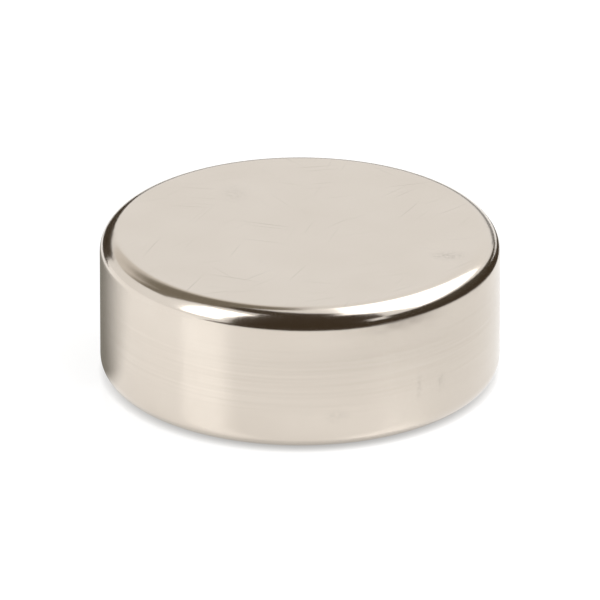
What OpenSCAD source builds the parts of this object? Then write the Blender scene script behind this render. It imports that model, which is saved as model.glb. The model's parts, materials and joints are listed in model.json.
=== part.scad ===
// Disc magnet.
// A sintered neodymium disc, ground flat on both pole faces and ground round on its rim,
// then tumbled so that both edges turn a soft radius, and nickel plated all over.
// It is one solid piece, magnetised through its thickness, and every size is over the plating.
// Frame: +Z runs along the magnetic axis. The origin is the centre of the lower pole face.

/* [Disc] */
// Diameter over the plated rim
disc_d = 8; // [3:0.5:30]
// Thickness from pole face to pole face
disc_t = 3; // [1:0.5:15]

/* [Edges] */
// Radius that tumbling leaves on both edges
edge_r = 0.4; // [0.1:0.05:0.45]

/* [Hidden] */

// Radius of the rim
rim_r = disc_d / 2;
// Radius of the flat part of a pole face, where the rounded edge starts
face_r = rim_r - edge_r;
// Height of the straight ground wall between the two rounded edges
rim_h = disc_t - 2 * edge_r;
// Heights at which the two edge radii are struck
edge_z = [edge_r, disc_t - edge_r];
// Facets of a full turn, for the preview
turn_fn = 240;
// Facets of an edge's circle, for the preview
edge_fn = 48;
// Warm silver of bright nickel plate
nickel = [0.85, 0.82, 0.78];

// Right half of the disc's cross-section, with its turning axis on the left.
module half_section() {
    // From pole face to pole face, out to where the edges start to turn
    square([face_r, disc_t]);
    // Out to the ground rim, between the rounded edges
    translate([0, edge_r])
        square([rim_r, rim_h]);
    // Rounded edges, each a quarter turn from a pole face to the rim
    for (z = edge_z)
        translate([face_r, z])
            circle(r = edge_r, $fn = edge_fn);
}

// The whole magnet, turned about its magnetic axis.
module disc_magnet() {
    color(nickel)
        rotate_extrude($fn = turn_fn)
            half_section();
}

disc_magnet();
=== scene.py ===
import json
import math

import bmesh
import bpy
import numpy
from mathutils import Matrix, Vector


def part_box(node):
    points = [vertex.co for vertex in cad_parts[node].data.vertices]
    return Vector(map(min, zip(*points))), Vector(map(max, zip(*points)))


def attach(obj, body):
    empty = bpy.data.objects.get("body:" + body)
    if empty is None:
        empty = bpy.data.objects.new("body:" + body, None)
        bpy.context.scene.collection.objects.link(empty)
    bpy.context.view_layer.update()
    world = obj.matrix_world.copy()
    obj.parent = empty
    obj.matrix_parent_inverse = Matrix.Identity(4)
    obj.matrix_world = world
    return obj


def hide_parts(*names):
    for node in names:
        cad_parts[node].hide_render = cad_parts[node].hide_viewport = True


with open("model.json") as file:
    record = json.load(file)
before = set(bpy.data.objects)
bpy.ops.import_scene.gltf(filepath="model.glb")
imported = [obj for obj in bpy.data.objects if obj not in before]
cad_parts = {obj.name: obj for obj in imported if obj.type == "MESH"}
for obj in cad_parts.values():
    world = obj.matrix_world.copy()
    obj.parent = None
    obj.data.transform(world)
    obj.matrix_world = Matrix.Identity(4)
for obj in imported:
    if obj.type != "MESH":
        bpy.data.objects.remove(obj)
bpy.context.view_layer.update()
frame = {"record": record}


# Nickel disc: one solid disc of sintered neodymium magnet, magnetised through its thickness.
# Its two pole faces and its rim are ground to size, then it is tumbled in a barrel, which rounds
# both edges, and plated all over with bright nickel. It is fastened to nothing.

MM = 0.001

rim = next(mount for mount in frame["record"]["mounts"] if mount["name"] == "rim")
disc_low, disc_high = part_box("disc_magnet")
disc_t = disc_high.z - disc_low.z
disc_r = rim["dims"]["r_mm"] * MM
wall_h = rim["dims"]["length_mm"] * MM
edge_r = (disc_t - wall_h) / 2
face_r = disc_r - edge_r

DISC_SIDES = 384
EDGE_STEPS = 16
# A narrow ring of flat metal beside each rounded edge keeps the shading of the pole faces flat
BORDER = 0.01 * MM
# Rings of facets that each pole face is divided into
FACE_RINGS = 6


def start_clean():
    """Leaves nothing selected, so that the next operator acts only on what it makes."""
    bpy.ops.object.select_all(action="DESELECT")


def choose(mesh, kind, test):
    """Selects just the edges or faces of a mesh in edit mode that pass the test."""
    parts = bmesh.from_edit_mesh(mesh)
    for part in [*parts.verts, *parts.edges, *parts.faces]:
        part.select = False
    for part in getattr(parts, kind):
        part.select = test(part)
    parts.select_flush_mode()
    bmesh.update_edit_mesh(mesh)


start_clean()
bpy.ops.mesh.primitive_cylinder_add(
    vertices=DISC_SIDES, radius=disc_r, depth=disc_t, location=(0, 0, disc_low.z + disc_t / 2)
)
disc = bpy.context.object
disc.name = "nickel_disc"
bpy.ops.object.transform_apply(location=True, rotation=True, scale=True)

bpy.ops.object.mode_set(mode="EDIT")
bpy.ops.mesh.select_mode(type="EDGE")
choose(disc.data, "edges", lambda edge: abs(edge.verts[0].co.z - edge.verts[1].co.z) < disc_t / 2)
bpy.ops.mesh.bevel(offset=edge_r, segments=EDGE_STEPS, profile=0.5, affect="EDGES")
bpy.ops.mesh.select_mode(type="FACE")
choose(disc.data, "faces", lambda face: len(face.verts) == DISC_SIDES)
bpy.ops.mesh.inset(thickness=BORDER)
for ring in range(FACE_RINGS):
    bpy.ops.mesh.inset(thickness=face_r / (FACE_RINGS + 1))
bpy.ops.mesh.poke()
bpy.ops.object.mode_set(mode="OBJECT")
bpy.ops.object.shade_smooth()


def linear(code):
    """A colour written as sRGB hex, as the linear colour that a shader takes."""
    parts = [int(code[i : i + 2], 16) / 255 for i in (0, 2, 4)]
    return [c / 12.92 if c <= 0.04045 else ((c + 0.055) / 1.055) ** 2.4 for c in parts] + [1.0]


def node(tree, kind, settings=None, **sockets):
    """Adds a node, sets its properties, and gives each named socket a value or a link."""
    new = tree.nodes.new(kind)
    for name, value in (settings or {}).items():
        setattr(new, name, value)
    inputs = {socket.identifier.replace(" ", "_"): socket for socket in new.inputs}
    for name, value in sockets.items():
        if isinstance(value, bpy.types.NodeSocket):
            tree.links.new(value, inputs[name])
        else:
            inputs[name].default_value = value
    return new


def new_material(name):
    """An empty node material."""
    made = bpy.data.materials.new(name)
    made.use_nodes = True
    made.node_tree.nodes.clear()
    return made


# Bright nickel plate over tumbled metal: a warm silver mirror with a soft gloss. Its skin is
# slightly uneven, like orange peel, and the tumbled edges are a little wavy. The pole faces carry
# a few hairlines and scuffs from handling, which are rougher, and whose darker colour is painted
# shade for the self-shadowing in their grooves. Along the middle of the rim the grinding lines
# still show through, run round it, and smear what it mirrors up and down.
NICKEL_WARM = "D3C9BD"
NICKEL_PALE = "DBD2C7"
GROOVE_SHADED_NICKEL = "C0B8AE"
CLOUD = 1.6 * MM
PEEL = 0.22 * MM
PEEL_DEPTH = 0.00045 * MM
EDGE_WAVE = 0.32 * MM
EDGE_WAVE_DEPTH = 0.0022 * MM
# Length and width, drawn about twice as wide as real hairlines, so that they show
HAIRLINE = (1.7 * MM, 0.035 * MM)
HAIRLINE_DEPTH = 0.0003 * MM
HAIRLINE_TURNS = (0.30, 0.80, 1.22, 2.25, 2.90)
# How far the hairlines of each direction are moved for each radian of turn, so that they differ
HAIRLINE_SHIFT = 7 * MM
# Over what length a hairline bends, and by how much at most
HAIRLINE_BEND = (2.6 * MM, 0.5 * MM)
# Where the noise passes the first value a hairline starts, and it would be full at the second
HAIRLINE_CUT = (0.775, 1.0)
# Length and width, drawn about four times as coarse as real grinding lines, so that they show
GRINDING = (3.0 * MM, 0.06 * MM)
GRINDING_DEPTH = 0.0003 * MM
# The height above or below the middle of the rim at which the ground finish starts to fade,
# and the height at which only burnished metal is left
RIM_FADE = (wall_h / 2 - 0.80 * MM, wall_h / 2 - 0.15 * MM)
# Hairlines fade out over the part of each rounded edge that is next to its pole face
FACE_FADE = (disc_t / 2 - 0.08 * MM, disc_t / 2)
# Scuffs: where each one lies, how far it reaches, both in millimetres, and how strong it is
SCUFFS = (
    ((2.95, -1.18, 3.0), (0.50, 0.32, 0.3), 0.8),
    ((-1.32, 1.89, 3.0), (0.42, 0.60, 0.3), 0.4),
    ((2.36, -3.23, 1.10), (0.12, 0.12, 0.42), 0.55),
    ((2.80, -2.86, 1.02), (0.18, 0.18, 0.30), 0.5),
    ((0.73, -3.93, 0.75), (0.40, 0.20, 0.22), 0.4),
)
SCUFF_GRAIN = 0.07 * MM
# Where the noise passes the first value a scratch starts, and it is full at the second
SCUFF_CUT = (0.32, 0.70)
BURNISHED_ROUGHNESS = 0.15
SCUFFED_ROUGHNESS = 0.28
GROUND_ROUGHNESS = 0.20
GROUND_STRETCH = 0.7

nickel = new_material("bright_nickel_plate")
tree = nickel.node_tree
place = node(tree, "ShaderNodeTexCoord").outputs["Object"]

height = node(tree, "ShaderNodeSeparateXYZ", Vector=place).outputs["Z"]
above = node(tree, "ShaderNodeMath", {"operation": "SUBTRACT"}, Value=height, Value_001=disc_t / 2)
off_middle = node(tree, "ShaderNodeMath", {"operation": "ABSOLUTE"}, Value=above.outputs[0])
on_rim = node(
    tree, "ShaderNodeMapRange", {"interpolation_type": "SMOOTHSTEP"}, Value=off_middle.outputs[0],
    From_Min=RIM_FADE[0], From_Max=RIM_FADE[1], To_Min=1.0, To_Max=0.0,
).outputs[0]
on_face = node(
    tree, "ShaderNodeMapRange", Value=off_middle.outputs[0],
    From_Min=FACE_FADE[0], From_Max=FACE_FADE[1],
).outputs[0]

# Hairlines lie in a few directions, each slightly bent, and only on the pole faces
bend = node(tree, "ShaderNodeTexNoise", Vector=place, Scale=1 / HAIRLINE_BEND[0], Detail=0.0)
bent = node(
    tree, "ShaderNodeVectorMath", {"operation": "MULTIPLY_ADD"}, Vector=bend.outputs["Color"],
    Vector_001=[HAIRLINE_BEND[1]] * 3, Vector_002=place,
)
hairlines = 0.0
for turn in HAIRLINE_TURNS:
    along = node(
        tree, "ShaderNodeMapping", {"vector_type": "TEXTURE"}, Vector=bent.outputs[0],
        Location=(0, turn * HAIRLINE_SHIFT, 0), Rotation=(0, 0, turn),
        Scale=(HAIRLINE[0], HAIRLINE[1], HAIRLINE[0]),
    )
    streaks = node(tree, "ShaderNodeTexNoise", Vector=along.outputs[0], Scale=1.0, Detail=0.0)
    line = node(
        tree, "ShaderNodeMapRange", Value=streaks.outputs[0],
        From_Min=HAIRLINE_CUT[0], From_Max=HAIRLINE_CUT[1],
    )
    hairlines = node(
        tree, "ShaderNodeMath", {"operation": "MAXIMUM"}, Value=line.outputs[0], Value_001=hairlines
    ).outputs[0]
wear_and_groove_shade = node(
    tree, "ShaderNodeMath", {"operation": "MULTIPLY"}, Value=hairlines, Value_001=on_face
).outputs[0]

# A scuff is a soft-edged patch of short scratches
grain = node(
    tree, "ShaderNodeTexNoise", Vector=place, Scale=1 / SCUFF_GRAIN, Detail=2.0, Roughness=0.7
)
grit = node(
    tree, "ShaderNodeMapRange", Value=grain.outputs[0], From_Min=SCUFF_CUT[0], From_Max=SCUFF_CUT[1]
)
for spot, reach, strength in SCUFFS:
    offset = node(
        tree, "ShaderNodeMapping", {"vector_type": "TEXTURE"}, Vector=place,
        Location=[c * MM for c in spot], Scale=[c * MM for c in reach],
    )
    off_spot = node(tree, "ShaderNodeVectorMath", {"operation": "LENGTH"}, Vector=offset.outputs[0])
    patch = node(
        tree, "ShaderNodeMapRange", {"interpolation_type": "SMOOTHSTEP"},
        Value=off_spot.outputs["Value"], To_Min=strength, To_Max=0.0,
    )
    scuff = node(
        tree, "ShaderNodeMath", {"operation": "MULTIPLY"},
        Value=patch.outputs[0], Value_001=grit.outputs[0],
    )
    wear_and_groove_shade = node(
        tree, "ShaderNodeMath", {"operation": "MAXIMUM"}, Value=scuff.outputs[0], Value_001=wear_and_groove_shade
    ).outputs[0]

around = node(
    tree, "ShaderNodeMapping", {"vector_type": "TEXTURE"}, Vector=place,
    Scale=(GRINDING[0], GRINDING[0], GRINDING[1]),
)
grinding = node(tree, "ShaderNodeTexNoise", Vector=around.outputs[0], Scale=1.0, Detail=1.0)
cloud = node(tree, "ShaderNodeTexNoise", Vector=place, Scale=1 / CLOUD, Detail=2.0)
shades = node(
    tree, "ShaderNodeMix", Factor_Float=on_rim, A_Float=cloud.outputs[0], B_Float=grinding.outputs[0]
)
clean = node(
    tree, "ShaderNodeMix", {"data_type": "RGBA"}, Factor_Float=shades.outputs[0],
    A_Color=linear(NICKEL_WARM), B_Color=linear(NICKEL_PALE),
)
# Painted shade: hairlines and scuffs are tinted darker for the shade in their grooves, on top of
# their real rougher wear
tint = node(
    tree, "ShaderNodeMix", {"data_type": "RGBA"}, Factor_Float=wear_and_groove_shade,
    A_Color=clean.outputs[2], B_Color=linear(GROOVE_SHADED_NICKEL),
).outputs[2]

peel = node(tree, "ShaderNodeTexNoise", Vector=place, Scale=1 / PEEL, Detail=1.0)
skin = node(tree, "ShaderNodeBump", Distance=PEEL_DEPTH, Height=peel.outputs[0])
lined = node(
    tree, "ShaderNodeBump", {"invert": True}, Distance=HAIRLINE_DEPTH, Height=wear_and_groove_shade,
    Normal=skin.outputs[0],
)
off_face = node(tree, "ShaderNodeMath", {"operation": "SUBTRACT"}, Value=1.0, Value_001=on_face)
waves = node(tree, "ShaderNodeTexNoise", Vector=place, Scale=1 / EDGE_WAVE, Detail=1.0)
edge_waves = node(
    tree, "ShaderNodeMath", {"operation": "MULTIPLY"},
    Value=waves.outputs[0], Value_001=off_face.outputs[0],
)
waved = node(
    tree, "ShaderNodeBump", Distance=EDGE_WAVE_DEPTH, Height=edge_waves.outputs[0],
    Normal=lined.outputs[0],
)
dulled = node(
    tree, "ShaderNodeMapRange", Value=wear_and_groove_shade, To_Min=BURNISHED_ROUGHNESS, To_Max=SCUFFED_ROUGHNESS
)
burnished = node(
    tree, "ShaderNodeBsdfPrincipled", Base_Color=tint, Metallic=1.0, Roughness=dulled.outputs[0],
    Normal=waved.outputs[0],
)

# The grinding lines run level, so the gloss is stretched along the upright direction
ground_skin = node(tree, "ShaderNodeBump", Distance=GRINDING_DEPTH, Height=grinding.outputs[0])
upright = node(tree, "ShaderNodeCombineXYZ", Z=1.0)
ground = node(
    tree, "ShaderNodeBsdfPrincipled", Base_Color=tint, Metallic=1.0, Roughness=GROUND_ROUGHNESS,
    Anisotropic=GROUND_STRETCH, Tangent=upright.outputs[0], Normal=ground_skin.outputs[0],
)
plate = node(
    tree, "ShaderNodeMixShader", Fac=on_rim, Shader=burnished.outputs[0], Shader_001=ground.outputs[0]
)
node(tree, "ShaderNodeOutputMaterial", Surface=plate.outputs[0])
disc.data.materials.append(nickel)

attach(disc, "root")
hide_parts("disc_magnet")


# Table: a plain white table top, 3 m across, of laminated board. The disc stands loose on it. It
# isn't part of the object.

TABLE_SIZE = 3.0

start_clean()
bpy.ops.mesh.primitive_plane_add(size=TABLE_SIZE)
table = bpy.context.object
table.name = "table"

# White laminate: it looks white to the camera and in the metal, keeps the soft shadows of the
# lamps, has a faint gloss that mirrors them, and has a painted shade that darkens its glow in the
# crack under the disc's edge.
WHITE_GLOW = 0.80
LAMINATE = "909090"
LAMINATE_GLOSS = "525252"
LAMINATE_ROUGHNESS = 0.2
# How near the disc has to be for the painted shade to darken the table's glow, and the share of
# its glow left at most
SHADE_REACH = 0.2 * MM
SHADE_GLOW_KEPT = 0.45

laminate = new_material("white_laminate")
tree = laminate.node_tree
path = node(tree, "ShaderNodeLightPath")
seen = node(
    tree, "ShaderNodeMath", {"operation": "MAXIMUM"},
    Value=path.outputs["Is Camera Ray"], Value_001=path.outputs["Is Glossy Ray"],
)
# Painted shade: ambient occlusion dims the glow where the disc's edge is near, as a contact shadow
openness = node(tree, "ShaderNodeAmbientOcclusion", Distance=SHADE_REACH)
glow_with_crack_shade = node(
    tree, "ShaderNodeMapRange", Value=openness.outputs["AO"],
    To_Min=SHADE_GLOW_KEPT * WHITE_GLOW, To_Max=WHITE_GLOW,
)
level = node(
    tree, "ShaderNodeMath", {"operation": "MULTIPLY"},
    Value=glow_with_crack_shade.outputs[0], Value_001=seen.outputs[0],
)
glow = node(tree, "ShaderNodeEmission", Strength=level.outputs[0])
lit = node(tree, "ShaderNodeBsdfDiffuse", Color=linear(LAMINATE))
sheen = node(
    tree, "ShaderNodeBsdfAnisotropic", Color=linear(LAMINATE_GLOSS), Roughness=LAMINATE_ROUGHNESS
)
matt = node(tree, "ShaderNodeAddShader", Shader=lit.outputs[0], Shader_001=glow.outputs[0])
whole = node(tree, "ShaderNodeAddShader", Shader=matt.outputs[0], Shader_001=sheen.outputs[0])
node(tree, "ShaderNodeOutputMaterial", Surface=whole.outputs[0])
table.data.materials.append(laminate)


# Cloths: plain cotton cloths, and one card covered in white cotton, that hang round the table on
# poles, as in a studio. The bright metal mirrors the dark ones as the dark lines along its edges.
# They aren't part of the object.

CLOTH_AWAY = 0.8
CARD_AWAY = 0.7
CLOTH_STEPS = (60, 20)

DARK_BROWN = "453B2F"
WHITE = "FFFFFF"


def show_in_metal_only(piece, surface):
    """Gives a studio piece its material, and hides it from all but mirrors."""
    piece.data.materials.append(surface)
    piece.visible_camera = False
    piece.visible_diffuse = False
    piece.visible_shadow = False


def bearing(azimuth, elevation):
    """A direction: azimuth 0 is the front, 90 the right, and elevation is above the table."""
    turn = math.radians(azimuth)
    rise = math.radians(elevation)
    return Vector(
        (math.sin(turn) * math.cos(rise), -math.cos(turn) * math.cos(rise), math.sin(rise))
    )


def hang_cloth(name, colour, poles, away=CLOTH_AWAY, paler_corner=None):
    """Hangs a cloth on poles. Each has an azimuth, and the elevations of the two hems there.

    A cloth can be paler in the lower corner at its first pole. That option names the pale colour,
    and between which parts of its length, and of its height, that turns into the cloth's own.
    """
    start_clean()
    bpy.ops.mesh.primitive_grid_add(
        x_subdivisions=CLOTH_STEPS[0], y_subdivisions=CLOTH_STEPS[1], size=1
    )
    cloth = bpy.context.object
    cloth.name = name
    azimuths, lower_hem, upper_hem = zip(*poles)
    for vertex in cloth.data.vertices:
        azimuth = numpy.interp(vertex.co.x, (-0.5, 0.5), (azimuths[0], azimuths[-1]))
        low = numpy.interp(azimuth, azimuths, lower_hem)
        high = numpy.interp(azimuth, azimuths, upper_hem)
        elevation = numpy.interp(vertex.co.y, (-0.5, 0.5), (low, high))
        vertex.co = bearing(azimuth, elevation) * away
    # Matt cotton in even light, which shows one plain colour from all sides
    surface = new_material(f"{name}_cotton")
    tree = surface.node_tree
    weave = node(tree, "ShaderNodeEmission", Color=linear(colour))
    node(tree, "ShaderNodeOutputMaterial", Surface=weave.outputs[0])
    if paler_corner:
        pale, length, height = paler_corner
        flat = node(tree, "ShaderNodeTexCoord").outputs["UV"]
        place = node(tree, "ShaderNodeSeparateXYZ", Vector=flat)
        along = node(
            tree, "ShaderNodeMapRange", {"interpolation_type": "SMOOTHSTEP"},
            Value=place.outputs["X"], From_Min=length[0], From_Max=length[1],
        )
        up = node(
            tree, "ShaderNodeMapRange", {"interpolation_type": "SMOOTHSTEP"},
            Value=place.outputs["Y"], From_Min=height[0], From_Max=height[1],
        )
        kept = node(
            tree, "ShaderNodeMath", {"operation": "MAXIMUM"},
            Value=along.outputs[0], Value_001=up.outputs[0],
        )
        blend = node(
            tree, "ShaderNodeMix", {"data_type": "RGBA"}, Factor_Float=kept.outputs[0],
            A_Color=linear(pale), B_Color=linear(colour),
        )
        tree.links.new(blend.outputs[2], weave.inputs["Color"])
    show_in_metal_only(cloth, surface)


hang_cloth("front_cloth", DARK_BROWN, ((-40, 0, 70), (50, 0, 70)))
hang_cloth("right_cloth", "4C4439", ((50, 0, 20), (110, 0, 20), (165, 0, 0.5)))
hang_cloth("top_cloth", DARK_BROWN, ((-150, 70, 90), (55, 70, 90)))
hang_cloth(
    "left_cloth", "837C6F",
    (
        (-180, 36, 70), (-165, 26, 70), (-150, 22, 70), (-130, 23, 70), (-115, 30, 70),
        (-105, 34, 70), (-95, 36, 70),
    ),
    paler_corner=("E6E2DC", (0.53, 0.78), (0.15, 0.50)),
)
hang_cloth("back_cloth", DARK_BROWN, ((-172, 0, 14), (-165, 0, 19), (-145, 0, 19), (-138, 0, 14)))
hang_cloth("far_cloth", "959595", ((150, 0, 10), (188, 0, 10)))
hang_cloth("white_card", WHITE, ((40, 9, 21), (50, 9, 21)), away=CARD_AWAY)


# Table cloth: a dark cotton cloth laid on the table in front and to the right, with a round
# opening in which the disc stands. The lower part of the rounded edges mirrors it. It isn't part
# of the object.

CLOTH_HEIGHT = 0.05 * MM
CLOTH_SIDES = 360
OPENING_R = 15 * MM
OPENING_X = -6.1 * MM
# The outer edge is this many times as far out as the opening
CLOTH_SPREAD = 50
# The sectors that the cloth covers, each from one azimuth to another, as seen from the disc
COVERED = ((-40, 137), (-172, -138))

start_clean()
bpy.ops.mesh.primitive_circle_add(
    vertices=CLOTH_SIDES, radius=OPENING_R, fill_type="NOTHING",
    location=(OPENING_X, 0, CLOTH_HEIGHT),
)
table_cloth = bpy.context.object
table_cloth.name = "table_cloth"
bpy.ops.object.transform_apply(location=True, rotation=True, scale=True)


def uncovered(face):
    """Whether a face lies outside the sectors that the cloth covers."""
    middle = face.calc_center_median()
    azimuth = math.degrees(math.atan2(middle.x, -middle.y))
    return not any(low < azimuth < high for low, high in COVERED)


bpy.ops.object.mode_set(mode="EDIT")
bpy.ops.mesh.select_mode(type="EDGE")
bpy.ops.mesh.select_all(action="SELECT")
bpy.ops.mesh.extrude_region_move()
bpy.ops.transform.resize(value=(CLOTH_SPREAD, CLOTH_SPREAD, 1))
bpy.ops.mesh.select_mode(type="FACE")
choose(table_cloth.data, "faces", uncovered)
bpy.ops.mesh.delete(type="FACE")
bpy.ops.object.mode_set(mode="OBJECT")
show_in_metal_only(table_cloth, bpy.data.materials["front_cloth_cotton"])


# Films: two round clear films on the table, each with a painted shade that fans out from a point
# at the disc's foot and fades to clear. The grey one is a painted shadow that shades what the left
# of the rim mirrors, and the white one is a painted plain white that hides the glare of the lamps
# from the right of it. They aren't part of the object.

FILM_R = 11 * MM
FILM_SIDES = 90
# Between these distances from its point the painted shade comes in, and between these it fades out
# again
SHADE_IN = (0.1 * MM, 1.2 * MM)
SHADE_OUT = (0.7 * FILM_R, FILM_R)


def lay_shade_film(name, colour, centre, azimuth, spread, height):
    """Lays a film of painted shade round its centre, which is in millimetres.

    Its painted shade is full at the azimuth, and has faded out by the spread, in degrees, to either
    side.
    """
    start_clean()
    bpy.ops.mesh.primitive_circle_add(
        vertices=FILM_SIDES, radius=FILM_R, fill_type="TRIFAN", location=(0, 0, height)
    )
    film = bpy.context.object
    film.name = name
    bpy.ops.transform.translate(value=(centre[0] * MM, centre[1] * MM, 0))
    bpy.ops.object.transform_apply(location=True, rotation=True, scale=True)
    # Painted shade on clear film, matt where it is shaded, and with nothing to see where it is clear
    surface = new_material(f"{name}_print")
    tree = surface.node_tree
    place = node(tree, "ShaderNodeTexCoord").outputs["Object"]
    # Turned so that the painted shade's middle lies along +X, where the radial gradient is one half
    turned = node(
        tree, "ShaderNodeMapping", {"vector_type": "TEXTURE"}, Vector=place,
        Location=(centre[0] * MM, centre[1] * MM, 0), Rotation=(0, 0, math.radians(azimuth - 90)),
    )
    sweep = node(
        tree, "ShaderNodeTexGradient", {"gradient_type": "RADIAL"}, Vector=turned.outputs[0]
    )
    aside = node(
        tree, "ShaderNodeMath", {"operation": "SUBTRACT"}, Value=sweep.outputs["Fac"], Value_001=0.5
    )
    off_azimuth = node(tree, "ShaderNodeMath", {"operation": "ABSOLUTE"}, Value=aside.outputs[0])
    fan = node(
        tree, "ShaderNodeMapRange", {"interpolation_type": "SMOOTHSTEP"},
        Value=off_azimuth.outputs[0], From_Max=spread / 360, To_Min=1.0, To_Max=0.0,
    )
    off_centre = node(tree, "ShaderNodeVectorMath", {"operation": "LENGTH"}, Vector=turned.outputs[0])
    begun = node(
        tree, "ShaderNodeMapRange", {"interpolation_type": "SMOOTHSTEP"},
        Value=off_centre.outputs["Value"], From_Min=SHADE_IN[0], From_Max=SHADE_IN[1],
    )
    ended = node(
        tree, "ShaderNodeMapRange", {"interpolation_type": "SMOOTHSTEP"},
        Value=off_centre.outputs["Value"], From_Min=SHADE_OUT[0], From_Max=SHADE_OUT[1],
    )
    ring = node(
        tree, "ShaderNodeMath", {"operation": "SUBTRACT"},
        Value=begun.outputs[0], Value_001=ended.outputs[0],
    )
    shaded = node(
        tree, "ShaderNodeMath", {"operation": "MULTIPLY"},
        Value=fan.outputs[0], Value_001=ring.outputs[0],
    )
    clear = node(tree, "ShaderNodeBsdfTransparent")
    # The painted shade glows in the film's colour: grey as a shadow, or plain white over the glare
    shade_glow = node(tree, "ShaderNodeEmission", Color=linear(colour))
    both = node(
        tree, "ShaderNodeMixShader", Fac=shaded.outputs[0],
        Shader=clear.outputs[0], Shader_001=shade_glow.outputs[0],
    )
    node(tree, "ShaderNodeOutputMaterial", Surface=both.outputs[0])
    show_in_metal_only(film, surface)


lay_shade_film("left_film", "87847C", (-3.75, -1.45), -165, 62, 2 * CLOTH_HEIGHT)
lay_shade_film("right_film", "FEFEFE", (1.8, -2.8), 105, 90, 3 * CLOTH_HEIGHT)


# Lights: two softboxes, a large one high on the right and a narrow one on the left, which hang in
# a plain white room. They light the disc softly, and the rounded edges mirror them as white lines.

def hang_softbox(name, azimuth, elevation, away, size, radiance):
    """Hangs a softbox that faces the disc. Its power follows from how bright its front is."""
    start_clean()
    towards = bearing(azimuth, elevation)
    bpy.ops.object.light_add(type="AREA", location=towards * away)
    lamp = bpy.context.object
    lamp.name = name
    lamp.data.shape = "RECTANGLE"
    lamp.data.size, lamp.data.size_y = size
    lamp.data.energy = radiance * math.pi * size[0] * size[1]
    lamp.rotation_euler = towards.to_track_quat("Z", "Y").to_euler()


hang_softbox("right_softbox", 102, 52, 0.6, (0.66, 0.60), 1.7)
hang_softbox("left_softbox", -58, 35, 0.6, (0.26, 0.56), 2.15)

# How bright the room is as a light, where the camera and the metal see it at 1
ROOM_LIGHT = 0.45

room = bpy.data.worlds.new("white_room")
bpy.context.scene.world = room
room.use_nodes = True
# The room isn't sampled as a lamp is, so that the metal shows it at its full white
room.cycles.sampling_method = "NONE"
tree = room.node_tree
tree.nodes.clear()
path = node(tree, "ShaderNodeLightPath")
seen = node(
    tree, "ShaderNodeMath", {"operation": "MAXIMUM"},
    Value=path.outputs["Is Camera Ray"], Value_001=path.outputs["Is Glossy Ray"],
)
level = node(tree, "ShaderNodeMapRange", Value=seen.outputs[0], To_Min=ROOM_LIGHT, To_Max=1.0)
walls = node(tree, "ShaderNodeBackground", Color=linear(WHITE), Strength=level.outputs[0])
node(tree, "ShaderNodeOutputWorld", Surface=walls.outputs[0])


# Camera: a long lens, 0.3 m in front of the disc and looking down on it, as from a seat at the
# table.

CAMERA_RISE = 24.3
CAMERA_AWAY = 0.30
# Both in millimetres
SENSOR = 36
LENS = 900
# Nothing nearer or farther than this is shown
NEAREST = 0.01
FARTHEST = 10

start_clean()
middle = Vector((0, 0, disc_low.z + disc_t / 2))
back = bearing(0, CAMERA_RISE)
bpy.ops.object.camera_add(location=middle + back * CAMERA_AWAY)
camera = bpy.context.object
camera.rotation_euler = (-back).to_track_quat("-Z", "Y").to_euler()
camera.data.sensor_width = SENSOR
camera.data.lens = LENS
camera.data.clip_start = NEAREST
camera.data.clip_end = FARTHEST
bpy.context.scene.camera = camera
bpy.context.scene.view_settings.view_transform = "Standard"
